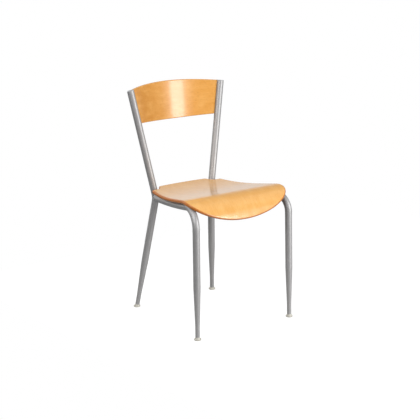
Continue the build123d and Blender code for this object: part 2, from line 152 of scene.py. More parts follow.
# Softboxes: place, width and height, and power in watts. The back mirrors the strip as its light
# band, and the halo softens that band's flanks.
LIGHT_TARGET = Vector((0, 0, 0.55))
SOFTBOXES = {
    "strip": ((1.33, -2.94, 1.05), (1.1, 2.0), 72.0),
    "halo": ((1.36, -3.09, 1.05), (2.5, 2.0), 19.0),
    "left": ((-2.3, -0.65, 1.9), (1.0, 1.4), 38.0),
    "top": ((-0.75, -1.0, 2.7), (0.9, 0.9), 7.0),
    "side": ((2.0, -0.5, 2.9), (2.0, 2.0), 6.0),
    "rear": ((-1.6, 2.4, 2.0), (2.0, 2.0), 28.0),
}

# Camera: its direction from the target in degrees, and its lens in pixels of the image
IMAGE_SIZE = 420
SENSOR_WIDTH = 36.0
CAMERA_AZIMUTH = -36.71
CAMERA_ELEVATION = 14.59
CAMERA_DISTANCE = 4.838
CAMERA_TARGET = Vector((0, -0.02085, 0.400))
FOCAL_PIXELS = 1328.3
TARGET_PIXEL = (208.82, 208.16)

# Material slots of a plywood sheet
FACE_SLOT = 0
EDGE_SLOT = 1

# A Mix node's sockets for colours, by number, because their names stand for other sockets too
SHARE, FROM, TO = 0, 6, 7
MIXED = 2


def linear(colour):
    """An sRGB hex colour as the linear RGBA that a shader socket takes."""
    parts = [int(colour[i:i + 2], 16) / 255 for i in (1, 3, 5)]
    return [c / 12.92 if c <= 0.04045 else ((c + 0.055) / 1.055) ** 2.4 for c in parts] + [1.0]


def add(tree, kind, inputs=None, **settings):
    """Adds a node with its settings. Each input is a value, or the socket that is linked to it."""
    node = tree.nodes.new(kind)
    for name, value in settings.items():
        setattr(node, name, value)
    for name, value in (inputs or {}).items():
        if isinstance(value, bpy.types.NodeSocket):
            tree.links.new(value, node.inputs[name])
        else:
            node.inputs[name].default_value = value
    return node


# Materials


def new_material(name, **sockets):
    """A material with one shader. Its sockets are named with underscores in place of spaces."""
    material = bpy.data.materials.new(name)
    material.use_nodes = True
    tree = material.node_tree
    tree.nodes.clear()
    values = {socket.replace("_", " "): value for socket, value in sockets.items()}
    shader = add(tree, "ShaderNodeBsdfPrincipled", values)
    add(tree, "ShaderNodeOutputMaterial", {"Surface": shader.outputs[0]})
    return material, tree, shader


def cells(along, across, through=RIGHT_THROUGH):
    """Texture scale for a pattern with cells of these sizes."""
    return (1 / (along * MM), 1 / (across * MM), 1 / (through * MM))


def lacquered_veneer(name, ground, tints, side_shade, film_roughness):
    # Rotary-cut beech face veneer, stained honey and sprayed with clear lacquer. The eye gets a
    # warm, even wood with soft pale clouds, long streaks and short darker flecks, under a glossy,
    # slightly wavy film that mirrors what lies behind it at a low angle. The seat and the back have
    # a leaf of veneer each. Painted shade darkens the back towards one side (-X), where it is less
    # lit. Real flecks are 1 to 3 mm long, and are drawn several times as long here, to show at the
    # size of the render.
    material, tree, shader = new_material(
        name,
        Roughness=0.55,
        Specular_IOR_Level=0.2,
        Coat_Weight=1.0,
        Coat_Roughness=film_roughness,
        Coat_IOR=1.5,
    )
    grain = add(tree, "ShaderNodeAttribute", attribute_name="grain").outputs["Vector"]
    noise = {}
    for layer, cell, detail, distortion in (
        ("figure", FIGURE_CELL, 3.0, 0.8),
        ("cloud", CLOUD_CELL, 2.0, 0.0),
        ("streak", STREAK_CELL, 2.0, 0.0),
        ("fleck", FLECK_CELL, 1.0, 0.0),
    ):
        at = add(tree, "ShaderNodeMapping", {"Vector": grain, "Scale": cells(*cell)})
        noise[layer] = add(
            tree,
            "ShaderNodeTexNoise",
            {"Vector": at.outputs[0], "Scale": 1.0, "Detail": detail, "Distortion": distortion},
        ).outputs["Fac"]
    dark, light = ground
    tone = add(
        tree,
        "ShaderNodeMix",
        {SHARE: noise["figure"], FROM: linear(dark), TO: linear(light)},
        data_type="RGBA",
    )
    place = add(tree, "ShaderNodeTexCoord").outputs["Object"]
    sideways = add(tree, "ShaderNodeSeparateXYZ", {0: place}).outputs["X"]
    # Each layer comes in over a range of its value, up to its largest share of the colour. The
    # first is painted shade: the fleck colour comes in across the sheet, darker towards -X.
    for value, (start, end), most, tint in (
        (sideways, (SHADE_FADE * MM, -SHADE_FADE * MM), side_shade, "fleck"),
        (noise["cloud"], (0.4, 0.75), 0.6, "cloud"),
        (noise["streak"], (0.42, 0.8), 0.45, "streak"),
        (noise["fleck"], (0.58, 0.72), 0.34, "fleck"),
    ):
        share = add(
            tree,
            "ShaderNodeMapRange",
            {"Value": value, "From Min": start, "From Max": end, "To Max": most},
        )
        tone = add(
            tree,
            "ShaderNodeMix",
            {SHARE: share.outputs[0], FROM: tone.outputs[MIXED], TO: linear(tints[tint])},
            data_type="RGBA",
        )
    tree.links.new(tone.outputs[MIXED], shader.inputs["Base Color"])
    bump = add(
        tree,
        "ShaderNodeBump",
        {"Height": noise["streak"], "Strength": 0.15, "Distance": RELIEF * MM},
    )
    tree.links.new(bump.outputs[0], shader.inputs["Normal"])
    film = add(
        tree,
        "ShaderNodeBump",
        {"Height": noise["cloud"], "Strength": 1.0, "Distance": FILM_WAVE * MM},
    )
    tree.links.new(film.outputs[0], shader.inputs["Coat Normal"])
    return material


def ply_edge(name, dark, light, pores):
    # The sawn and sanded edge of the same plywood, lacquered. Long grain and end grain take turns,
    # ply by ply, and end grain drinks more stain, so the eye gets fine stripes. They are brown
    # round the seat, partly painted shade of edges that face down, and nearly as pale as the face
    # round the back.
    material, tree, shader = new_material(
        name, Roughness=0.5, Specular_IOR_Level=0.3, Coat_Weight=0.6, Coat_Roughness=0.2
    )
    grain = add(tree, "ShaderNodeAttribute", attribute_name="grain").outputs["Vector"]
    depth = add(tree, "ShaderNodeSeparateXYZ", {0: grain}).outputs["Z"]
    turn = add(tree, "ShaderNodeMath", {0: depth, 1: pi / (PLY * MM)}, operation="MULTIPLY")
    swing = add(tree, "ShaderNodeMath", {0: turn.outputs[0]}, operation="SINE")
    stripe = add(
        tree,
        "ShaderNodeMapRange",
        {"Value": swing.outputs[0], "From Min": -0.35, "From Max": 0.35},
    )
    plies = add(
        tree,
        "ShaderNodeMix",
        {SHARE: stripe.outputs[0], FROM: linear(dark), TO: linear(light)},
        data_type="RGBA",
    )
    at = add(tree, "ShaderNodeMapping", {"Vector": grain, "Scale": cells(*PORE_CELL)})
    pore = add(tree, "ShaderNodeTexNoise", {"Vector": at.outputs[0], "Scale": 1.0, "Detail": 2.0})
    pored = add(
        tree,
        "ShaderNodeMix",
        {SHARE: pore.outputs["Fac"], FROM: plies.outputs[MIXED], TO: linear(pores)},
        data_type="RGBA",
    )
    tree.links.new(pored.outputs[MIXED], shader.inputs["Base Color"])
    bump = add(
        tree,
        "ShaderNodeBump",
        {"Height": pore.outputs["Fac"], "Strength": 0.1, "Distance": RELIEF * MM},
    )
    tree.links.new(bump.outputs[0], shader.inputs["Normal"])
    return material


def silver_coat():
    # Steel tube in silver powder coat: aluminium flake in clear polyester, flowed out in an oven.
    # The eye gets a satin grey with long soft lights, a faint sparkle and a slight orange peel.
    # Flake is under 0.1 mm, and is drawn at 1.6 mm to show at all.
    material, tree, shader = new_material(
        "silver_powder_coat", Metallic=0.55, Coat_Weight=0.1, Coat_Roughness=0.4
    )
    place = add(tree, "ShaderNodeTexCoord").outputs["Object"]
    noise = {}
    for layer, cell, detail in (
        ("flake", FLAKE_CELL, 1.0),
        ("drift", COAT_DRIFT_CELL, 2.0),
        ("peel", PEEL_CELL, 1.0),
    ):
        noise[layer] = add(
            tree,
            "ShaderNodeTexNoise",
            {"Vector": place, "Scale": 1 / (cell * MM), "Detail": detail},
        ).outputs["Fac"]
    base = add(
        tree,
        "ShaderNodeMix",
        {SHARE: noise["flake"], FROM: linear("#A3A2A2"), TO: linear("#BAB9B9")},
        data_type="RGBA",
    )
    tree.links.new(base.outputs[MIXED], shader.inputs["Base Color"])
    rough = add(
        tree, "ShaderNodeMapRange", {"Value": noise["drift"], "To Min": 0.48, "To Max": 0.58}
    )
    tree.links.new(rough.outputs[0], shader.inputs["Roughness"])
    bump = add(
        tree,
        "ShaderNodeBump",
        {"Height": noise["peel"], "Strength": 0.08, "Distance": RELIEF * MM},
    )
    tree.links.new(bump.outputs[0], shader.inputs["Normal"])
    return material


def moulded_plastic(name, dark, light, roughness):
    # Injection-moulded nylon or polyethylene. The eye gets an even colour with a slight drift, and
    # a fine matt skin from the mould. The skin's grain is about 0.1 mm, drawn at 0.8 mm to show.
    material, tree, shader = new_material(name, Roughness=roughness, Specular_IOR_Level=0.4)
    place = add(tree, "ShaderNodeTexCoord").outputs["Object"]
    drift = add(
        tree,
        "ShaderNodeTexNoise",
        {"Vector": place, "Scale": 1 / (PLASTIC_DRIFT_CELL * MM), "Detail": 3.0},
    )
    skin = add(
        tree,
        "ShaderNodeTexNoise",
        {"Vector": place, "Scale": 1 / (MOULD_SKIN_CELL * MM), "Detail": 1.0},
    )
    base = add(
        tree,
        "ShaderNodeMix",
        {SHARE: drift.outputs["Fac"], FROM: linear(dark), TO: linear(light)},
        data_type="RGBA",
    )
    tree.links.new(base.outputs[MIXED], shader.inputs["Base Color"])
    bump = add(
        tree,
        "ShaderNodeBump",
        {"Height": skin.outputs["Fac"], "Strength": 0.25, "Distance": RELIEF * MM},
    )
    tree.links.new(bump.outputs[0], shader.inputs["Normal"])
    return material


def plated_steel():
    # Zinc-plated steel screws. The eye gets bright metal, dulled unevenly by its clear passivation.
    material, tree, shader = new_material("zinc_plated_steel", Metallic=1.0)
    place = add(tree, "ShaderNodeTexCoord").outputs["Object"]
    drift = add(
        tree,
        "ShaderNodeTexNoise",
        {"Vector": place, "Scale": 1 / (PASSIVATION_CELL * MM), "Detail": 3.0},
    )
    base = add(
        tree,
        "ShaderNodeMix",
        {SHARE: drift.outputs["Fac"], FROM: linear("#A9ABAC"), TO: linear("#C6C8C9")},
        data_type="RGBA",
    )
    tree.links.new(base.outputs[MIXED], shader.inputs["Base Color"])
    rough = add(
        tree, "ShaderNodeMapRange", {"Value": drift.outputs["Fac"], "To Min": 0.22, "To Max": 0.42}
    )
    tree.links.new(rough.outputs[0], shader.inputs["Roughness"])
    return material


seat_veneer = lacquered_veneer(
    "seat_beech_veneer",
    ground=("#E3A452", "#EEB769"),
    tints={"cloud": "#F2C076", "streak": "#DA9B48", "fleck": "#C4843C"},
    side_shade=0.0,
    film_roughness=0.11,
)
# The back's colours are deeper than the seat's, partly painted shade of a panel that gets less light.
back_veneer = lacquered_veneer(
    "back_beech_veneer",
    ground=("#DF9A43", "#ECAE57"),
    tints={"cloud": "#F0B767", "streak": "#D4903D", "fleck": "#B2681F"},
    side_shade=0.4,
    film_roughness=0.18,
)
# The seat's edge is browner than the back's, partly painted shade of its downward-facing edges.
seat_edge_ply = ply_edge("seat_ply_edge", "#B26022", "#D78C3E", "#B96828")
back_edge_ply = ply_edge("back_ply_edge", "#D38D3C", "#E8B066", "#D6953F")
coat = silver_coat()
nylon = moulded_plastic("moulded_nylon", "#BCB9AF", "#CFCCC2", 0.45)
cap_plastic = moulded_plastic("moulded_polyethylene", "#A2A3A5", "#B4B5B6", 0.4)
pad_plastic = moulded_plastic("pad_polyethylene", "#33353A", "#44464B", 0.5)
zinc = plated_steel()

# Finishes of the CAD nodes that are shown as they are, by the ending of the node's name
FINISHES = {
    "leg": coat,
    "cross_rail": coat,
    "glide": nylon,
    "upright_cap": cap_plastic,
    "seat_pad": pad_plastic,
    "screws": zinc,
}
for node_name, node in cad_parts.items():
    for ending, finish in FINISHES.items():
        if node_name.endswith(ending):
            node.data.materials.clear()
            node.data.materials.append(finish)


# Plane curves


def arc(centre, radius, start, end):
    steps = max(2, int(abs(end - start) * radius / ARC_STEP))
    angles = [start + (end - start) * k / steps for k in range(steps + 1)]
    return [(centre[0] + radius * cos(a), centre[1] + radius * sin(a)) for a in angles]


def round_corner(before, corner, after, radius):
    """Points of the arc that rounds a corner between two straight runs."""
    one = (Vector(before) - Vector(corner)).normalized()
    two = (Vector(after) - Vector(corner)).normalized()
    half = one.angle(two) / 2
    centre = Vector(corner) + (one + two).normalized() * (radius / sin(half))
    first = Vector(corner) + one * (radius / tan(half)) - centre
    last = Vector(corner) + two * (radius / tan(half)) - centre
    start = atan2(first.y, first.x)
    turn = first.angle_signed(last)
    return arc(centre, radius, start, start - turn)


def distance(one, two):
    return hypot(two[0] - one[0], two[1] - one[1])


def resample(points, count):
    """The same line, as count + 1 points that are evenly spaced along it."""
    lengths = [0.0]
    for a, b in zip(points, points[1:]):
        lengths.append(lengths[-1] + distance(a, b))
    result = []
    k = 0
    for step in range(count + 1):
        wanted = lengths[-1] * step / count
        while k < len(points) - 2 and lengths[k + 1] < wanted:
            k += 1
        share = (wanted - lengths[k]) / (lengths[k + 1] - lengths[k])
        result.append(tuple(p + (q - p) * share for p, q in zip(points[k], points[k + 1])))
    return result


def nearest(points, place):
    """Number of the point that lies nearest to a place."""
    return min(range(len(points)), key=lambda k: distance(points[k], place))


# Seat: a flat blank with eased edges, moulded over its section by a tree of bends

DISH_LENGTH = DISH_RADIUS * radians(SEAT_REAR_FALL + SEAT_RISE)
LIP_BEND = LIP_RADIUS * radians(LIP_TURN)
SEAT_LENGTH = DISH_LENGTH + RISE_LENGTH + LIP_BEND + LIP_LENGTH
SIDE_START = (POST_X + NOTCH_REACH, POST_FORWARD + NOTCH_AHEAD)


def blank_length(forward):
    """Length over the moulded surface, from the rear edge to a place that far forward of it."""
    fall = radians(SEAT_REAR_FALL)
    rise = radians(SEAT_RISE)
    dish = DISH_RADIUS * (sin(rise) + sin(fall))
    crest = dish + RISE_LENGTH * cos(rise)
    if forward < dish:
        return DISH_RADIUS * (asin(forward / DISH_RADIUS - sin(fall)) + fall)
    if forward < crest:
        return DISH_LENGTH + (forward - dish) / cos(rise)
    over = rise - asin(sin(rise) - (forward - crest) / LIP_RADIUS)
    return DISH_LENGTH + RISE_LENGTH + LIP_RADIUS * over


def front_point(turn):
    """Place on the lip's outline, a quarter of an ellipse from the widest place to the front."""
    widest = blank_length(WIDEST_FORWARD)
    return (HALF_SEAT * cos(turn), widest + (SEAT_LENGTH - widest) * sin(turn))


def seat_sides():
    """Left half of the blank: the line across the rear, the side and the front, as (x, length)."""
    rear_end = (POST_X - NOTCH_REACH, REAR_BOW)
    notch = (POST_X - NOTCH_CORNER_IN, POST_FORWARD + NOTCH_AHEAD)
    rear_radius = (rear_end[0] ** 2 + REAR_BOW**2) / (2 * REAR_BOW)
    rear_turn = asin(rear_end[0] / rear_radius)
    rear = arc((0.0, rear_radius), rear_radius, -pi / 2, -pi / 2 + rear_turn)

    # The side is an arc that leaves the notch and runs tangent into the arc of the front corner
    centre = Vector((HALF_SEAT - SIDE_CORNER_RADIUS, WIDEST_FORWARD))
    span = Vector(SIDE_START) - centre
    reach = SIDE_RADIUS - SIDE_CORNER_RADIUS
    part_way = (reach**2 - SIDE_RADIUS**2 + span.length**2) / (2 * span.length)
    aside = Vector((span.y, -span.x)).normalized() * sqrt(reach**2 - part_way**2)
    side_centre = centre + span.normalized() * part_way + aside
    first = Vector(SIDE_START) - side_centre
    outward = (centre - side_centre).normalized()
    meeting = atan2(outward.y, outward.x)
    side = arc(side_centre, SIDE_RADIUS, atan2(first.y, first.x), meeting)
    corner = arc(centre, SIDE_CORNER_RADIUS, meeting, 0.0)

    rear = [p for p in rear if distance(p, rear_end) > REAR_CORNER_RADIUS]
    side = [p for p in side if distance(p, SIDE_START) > REAR_CORNER_RADIUS]
    plan = rear
    plan += round_corner(rear[-1], rear_end, notch, REAR_CORNER_RADIUS)
    plan += round_corner(rear_end, notch, SIDE_START, NOTCH_RADIUS)
    plan += round_corner(notch, SIDE_START, side[0], REAR_CORNER_RADIUS)
    plan += side + corner[1:]
    blank = [(x, blank_length(forward)) for x, forward in plan]
    return blank + [front_point(pi / 2 * k / FRONT_STEPS) for k in range(1, FRONT_STEPS + 1)]


def seat_outline():
    """The closed outline as four sides of a patch: rear, left, front and right."""
    half = seat_sides()
    rear_corner = nearest(half, (SIDE_START[0], blank_length(SIDE_START[1])))
    front_corner = nearest(half, front_point(pi / 4))
    across = round(REAR_SPAN / SPACING / 2)
    rear = resample(half[:rear_corner + 1], across)
    left = resample(half[rear_corner:front_corner + 1], round(SIDE_SPAN / SPACING))
    front = resample(half[front_corner:], across)
    rear = [(-x, s) for x, s in reversed(rear[1:])] + rear
    front = front + [(-x, s) for x, s in reversed(front[:-1])]
    right = [(-x, s) for x, s in reversed(left)]
    return rear, left, front, right


def inset(loop, depth):
    """The closed loop moved inwards, square to itself. It runs with its inside on the right."""
    result = []
    for k, (x, s) in enumerate(loop):
        before = loop[k - 1]
        after = loop[(k + 1) % len(loop)]
        along = Vector((after[0] - before[0], after[1] - before[1])).normalized()
        result.append((x - along.y * depth, s + along.x * depth))
    return result


def patch(rear, left, front, right):
    """Rows of points that fill the four sides, from the rear row to the front row."""
    far = list(reversed(front))
    near_right = list(reversed(right))
    rows = []
    for i in range(len(left)):
        v = i / (len(left) - 1)
        row = []
        for j in range(len(rear)):
            u = j / (len(rear) - 1)
            point = []
            for a in (0, 1):
                ruled = (1 - v) * rear[j][a] + v * far[j][a]
                ruled += (1 - u) * near_right[i][a] + u * left[i][a]
                corners = (1 - v) * ((1 - u) * rear[0][a] + u * rear[-1][a])
                corners += v * ((1 - u) * far[0][a] + u * far[-1][a])
                point.append(ruled - corners)
            row.append(tuple(point))
        rows.append(row)
    return rows


def ease_turns():
    """Angles of the steps round a quarter of an eased edge."""
    return [pi / 2 * k / EASE_STEPS for k in range(EASE_STEPS + 1)]


def ease_profile(thickness, ease):
    """Steps round an eased edge, as (distance in from the edge, depth under the upper face)."""
    upper = [(ease * (1 - sin(t)), ease * (1 - cos(t))) for t in ease_turns()]
    return upper + [(i, thickness - d) for i, d in reversed(upper)]


def finished_mesh(name, shape):
    """The mesh of a shape, with its faces outwards, and smooth apart from flat ends."""
    bmesh.ops.recalc_face_normals(shape, faces=shape.faces)
    for face in shape.faces:
        face.smooth = len(face.verts) == 4
    mesh = bpy.data.meshes.new(name)
    shape.to_mesh(mesh)
    shape.free()
    return mesh


def seat_blank():
    """The flat sheet: two skins that fill the outline, and the eased edge that joins them."""
    sides = seat_outline()
    counts = [len(side) - 1 for side in sides]
    outline = [p for side in sides for p in side[:-1]]
    rings = [(inset(outline, i), d) for i, d in ease_profile(SEAT_THICKNESS, SEAT_EDGE_EASE)]
    skin_edge = rings[0][0] + [rings[0][0][0]]
    starts = [sum(counts[:k]) for k in range(4)]
    rows = patch(*[skin_edge[s:s + n + 1] for s, n in zip(starts, counts)])

    shape = bmesh.new()

    def vertex(place, depth):
        return shape.verts.new((place[0] * MM, -place[1] * MM, -depth * MM))

    def skin(depth):
        grid = [[vertex(p, depth) for p in row] for row in rows]
        for upper, lower in zip(grid, grid[1:]):
            for j in range(len(upper) - 1):
                shape.faces.new((upper[j], lower[j], lower[j + 1], upper[j + 1]))
        border = grid[0][:-1] + [row[-1] for row in grid[:-1]]
        return border + grid[-1][:0:-1] + [row[0] for row in grid[:0:-1]]

    loops = [skin(0.0)]
    loops += [[vertex(p, depth) for p in ring] for ring, depth in rings[1:-1]]
    loops.append(skin(SEAT_THICKNESS))
    for upper, lower in zip(loops, loops[1:]):
        for k in range(len(upper)):
            wall = shape.faces.new((upper[k - 1], upper[k], lower[k], lower[k - 1]))
            wall.material_index = EDGE_SLOT
    return finished_mesh("seat", shape)


def new_tree(name, inputs):
    """An empty geometry tree with these named inputs, and its input and output nodes."""
    tree = bpy.data.node_groups.new(name, "GeometryNodeTree")
    tree.interface.new_socket("Geometry", in_out="INPUT", socket_type="NodeSocketGeometry")
    for label, kind in inputs:
        tree.interface.new_socket(label, in_out="INPUT", socket_type="NodeSocket" + kind)
    tree.interface.new_socket("Geometry", in_out="OUTPUT", socket_type="NodeSocketGeometry")
    return tree, add(tree, "NodeGroupInput").outputs, add(tree, "NodeGroupOutput")


def bend_tree():
    """Rolls a sheet upwards round an axis along X: flat before Start, an arc over Length."""
    tree, given, result = new_tree(
        "bend_sheet", [("Start", "Float"), ("Length", "Float"), ("Angle", "Float")]
    )
    place = add(tree, "GeometryNodeInputPosition").outputs[0]
    x, back, height = add(tree, "ShaderNodeSeparateXYZ", {0: place}).outputs
    known = {
        "start": given["Start"],
        "length": given["Length"],
        "angle": given["Angle"],
        "back": back,
        "height": height,
    }
    steps = (
        ("forward", "MULTIPLY", "back", -1.0),
        ("flat", "MINIMUM", "forward", "start"),
        ("past", "SUBTRACT", "forward", "start"),
        ("past", "MAXIMUM", "past", 0.0),
        ("rolled", "MINIMUM", "past", "length"),
        ("beyond", "SUBTRACT", "past", "rolled"),
        ("radius", "DIVIDE", "length", "angle"),
        ("turn", "DIVIDE", "rolled", "radius"),
        ("sine", "SINE", "turn", 0.0),
        ("cosine", "COSINE", "turn", 0.0),
        ("arm", "SUBTRACT", "radius", "height"),
        ("arc_forward", "MULTIPLY", "arm", "sine"),
        ("arc_drop", "MULTIPLY", "arm", "cosine"),
        ("end_forward", "MULTIPLY", "beyond", "cosine"),
        ("end_rise", "MULTIPLY", "beyond", "sine"),
        ("reach", "ADD", "flat", "arc_forward"),
        ("reach", "ADD", "reach", "end_forward"),
        ("back", "MULTIPLY", "reach", -1.0),
        ("rise", "SUBTRACT", "radius", "arc_drop"),
        ("rise", "ADD", "rise", "end_rise"),
    )
    for name, operation, first, second in steps:
        terms = {0: known[first], 1: known.get(second, second)}
        known[name] = add(tree, "ShaderNodeMath", terms, operation=operation).outputs[0]
    moved = add(tree, "ShaderNodeCombineXYZ", {0: x, 1: known["back"], 2: known["rise"]})
    shaped = add(
        tree, "GeometryNodeSetPosition", {"Geometry": given[0], "Position": moved.outputs[0]}
    )
    tree.links.new(shaped.outputs[0], result.inputs[0])
    return tree


def mould_tree():
    """Keeps each point's place on the flat blank as its grain, then bends the lip and the dish."""
    sizes = ("Dish length", "Dish angle", "Lip start", "Lip length", "Lip angle", "Rear fall")
    tree, given, result = new_tree(
        "mould_seat",
        [(size, "Float") for size in sizes]
        + [("Rear edge", "Vector"), ("Edge material", "Material")],
    )
    bend = bend_tree()
    place = add(tree, "GeometryNodeInputPosition").outputs[0]
    x, back, height = add(tree, "ShaderNodeSeparateXYZ", {0: place}).outputs
    forward = add(tree, "ShaderNodeMath", {0: back, 1: -1.0}, operation="MULTIPLY")
    depth = add(tree, "ShaderNodeMath", {0: height, 1: -1.0}, operation="MULTIPLY")
    grain = add(
        tree, "ShaderNodeCombineXYZ", {0: forward.outputs[0], 1: x, 2: depth.outputs[0]}
    )
    kept = add(
        tree,
        "GeometryNodeStoreNamedAttribute",
        {"Geometry": given[0], "Name": "grain", "Value": grain.outputs[0]},
        data_type="FLOAT_VECTOR",
    )
    lip = add(
        tree,
        "GeometryNodeGroup",
        {
            "Geometry": kept.outputs[0],
            "Start": given["Lip start"],
            "Length": given["Lip length"],
            "Angle": given["Lip angle"],
        },
        node_tree=bend,
    )
    dish = add(
        tree,
        "GeometryNodeGroup",
        {
            "Geometry": lip.outputs[0],
            "Length": given["Dish length"],
            "Angle": given["Dish angle"],
        },
        node_tree=bend,
    )
    tilt = add(tree, "ShaderNodeCombineXYZ", {0: given["Rear fall"]})
    placed = add(
        tree,
        "GeometryNodeTransform",
        {
            "Geometry": dish.outputs[0],
            "Translation": given["Rear edge"],
            "Rotation": tilt.outputs[0],
        },
    )
    whole = add(tree, "GeometryNodeRealizeInstances", {0: placed.outputs[0]})
    # The edge's faces have slot 1 and the others slot 0, so the slot itself selects the edge
    slot = add(tree, "GeometryNodeInputMaterialIndex").outputs[0]
    faced = add(
        tree,
        "GeometryNodeSetMaterial",
        {0: whole.outputs[0], "Selection": slot, "Material": given["Edge material"]},
    )
    tree.links.new(faced.outputs[0], result.inputs[0])
    return tree


def apply_tree(piece, tree, values):
    """Runs a geometry tree on the piece and keeps the result as its plain mesh."""
    modifier = piece.modifiers.new(tree.name, "NODES")
    modifier.node_group = tree
    for item in tree.interface.items_tree:
        if item.in_out == "INPUT" and item.name in values:
            modifier[item.identifier] = values[item.name]
    depsgraph = bpy.context.evaluated_depsgraph_get()
    mesh = bpy.data.meshes.new_from_object(piece.evaluated_get(depsgraph))
    piece.modifiers.clear()
    # A piece that starts without a material gets an empty first slot
    if not mesh.materials[0]:
        mesh.materials.pop(index=0)
    piece.data = mesh
    mesh.name = piece.name


def new_piece(name, mesh, materials):
    piece = bpy.data.objects.new(name, mesh)
    bpy.context.scene.collection.objects.link(piece)
    for material in materials:
        mesh.materials.append(material)
    return piece


seat = new_piece("seat", seat_blank(), [seat_veneer])
apply_tree(
    seat,
    mould_tree(),
    {
        "Dish length": DISH_LENGTH * MM,
        "Dish angle": radians(SEAT_REAR_FALL + SEAT_RISE),
        "Lip start": (DISH_LENGTH + RISE_LENGTH) * MM,
        "Lip length": LIP_BEND * MM,
        "Lip angle": -radians(LIP_TURN),
        "Rear fall": radians(SEAT_REAR_FALL),
        "Rear edge": (0.0, SEAT_REAR_Y * MM, SEAT_REAR_Z * MM),
        "Edge material": seat_edge_ply,
    },
)
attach(seat, "root")
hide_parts("seat_shell")


# Back panel: rounded sections swept across the cone between the uprights

UPRIGHT_RISE = Vector((0, UPRIGHT_TOP.y - KNEE.y, UPRIGHT_TOP.z - KNEE.z))
RISE_DIR = UPRIGHT_RISE.normalized()
REARWARD = RISE_DIR.cross(Vector((1, 0, 0)))
SPREAD = (UPRIGHT_TOP.x - KNEE.x) / UPRIGHT_RISE.length
BACK_TOP = UPRIGHT_TOP.x / SPREAD
BACK_BOTTOM = BACK_TOP - BACK_END_HEIGHT
APEX = Vector((0, UPRIGHT_TOP.y, UPRIGHT_TOP.z)) - RISE_DIR * BACK_TOP


def cone_radius(height):
    return height * SPREAD / sin(radians(BACK_HALF_ANGLE))


def back_turn(share, height):
    """Angle round the cone, at a share of the way from the middle to the end inside the tube."""
    hidden = (TUBE_RADIUS - BACK_ENTRY) / cone_radius(height)
    return share * (radians(BACK_HALF_ANGLE) - hidden)


def back_point(share, height, offset):
    """Place on the panel, at a height above the cone's apex and an offset from its mid-surface."""
    turn = back_turn(share, height)
    radius = cone_radius(height)
    centre = -radius * cos(radians(BACK_HALF_ANGLE))
    out = radius + offset
    sideways = Vector((out * sin(turn), 0, 0))
    return APEX + RISE_DIR * height + sideways + REARWARD * (centre + out * cos(turn))


def back_edge(share, end, rise, offset):
    """Height of the panel's edge, an arc that passes the upright axes at the end height."""
    half = end * SPREAD
    radius = (half**2 + rise**2) / (2 * abs(rise))
    upwards = 1 if rise > 0 else -1
    height = end
    # The place across depends on the height, and the height on the place, so they are found in turns
    for _ in range(EDGE_TRIES):
        x = back_point(share, height, offset).x
        height = end + rise - upwards * (radius - sqrt(radius**2 - x**2))
    return height


def back_section():
    """Steps round the panel's section, as (offset, share of the height, rise from the edge there)."""
    half = BACK_THICKNESS / 2
    rows = round(BACK_END_HEIGHT / SPACING)
    eased = [(BACK_EDGE_EASE * (1 - cos(t)), BACK_EDGE_EASE * (1 - sin(t))) for t in ease_turns()]
    section = [(-half, k / rows, 0.0) for k in range(1, rows)]
    section += [(-half + i, 1.0, -d) for i, d in eased]
    section += [(half - i, 1.0, -d) for i, d in reversed(eased)]
    section += [(half, k / rows, 0.0) for k in range(rows - 1, 0, -1)]
    section += [(half - i, 0.0, d) for i, d in eased]
    section += [(-half + i, 0.0, d) for i, d in reversed(eased)]
    return section


def back_mesh():
    """The panel, with each point's place on the veneer that it was cut from kept as its grain."""
    half = BACK_THICKNESS / 2
    ease = BACK_EDGE_EASE
    section = back_section()
    columns = round(2 * radians(BACK_HALF_ANGLE) * cone_radius(BACK_TOP) / SPACING)

    shape = bmesh.new()
    grain = shape.verts.layers.float_vector.new("grain")
    loops = []
    for column in range(columns + 1):
        share = 2 * column / columns - 1
        loop = []
        for offset, height_share, rise in section:
            top = back_edge(share, BACK_TOP, BACK_CROWN, offset)
            bottom = back_edge(share, BACK_BOTTOM, -BACK_BOW, offset)
            if 0 < height_share < 1:
                height = bottom + ease + (top - bottom - 2 * ease) * height_share
            else:
                height = (top if height_share else bottom) + rise
            corner = shape.verts.new(back_point(share, height, offset) * MM)
            across = back_turn(share, height) * cone_radius(height)
            corner[grain] = Vector((across + BACK_CUT_FROM, height, offset + half)) * MM
            loop.append(corner)
        loops.append(loop)
    for left, right in zip(loops, loops[1:]):
        for k in range(len(section)):
            wall = shape.faces.new((left[k - 1], left[k], right[k], right[k - 1]))
            on_face = section[k - 1][0] == section[k][0] and abs(section[k][0]) == half
            wall.material_index = FACE_SLOT if on_face else EDGE_SLOT
    for loop in (loops[0], loops[-1]):
        shape.faces.new(loop).material_index = EDGE_SLOT
    return finished_mesh("back", shape)


back = new_piece("back", back_mesh(), [back_veneer, back_edge_ply])
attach(back, "root")
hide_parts("back_panel")


# Welds


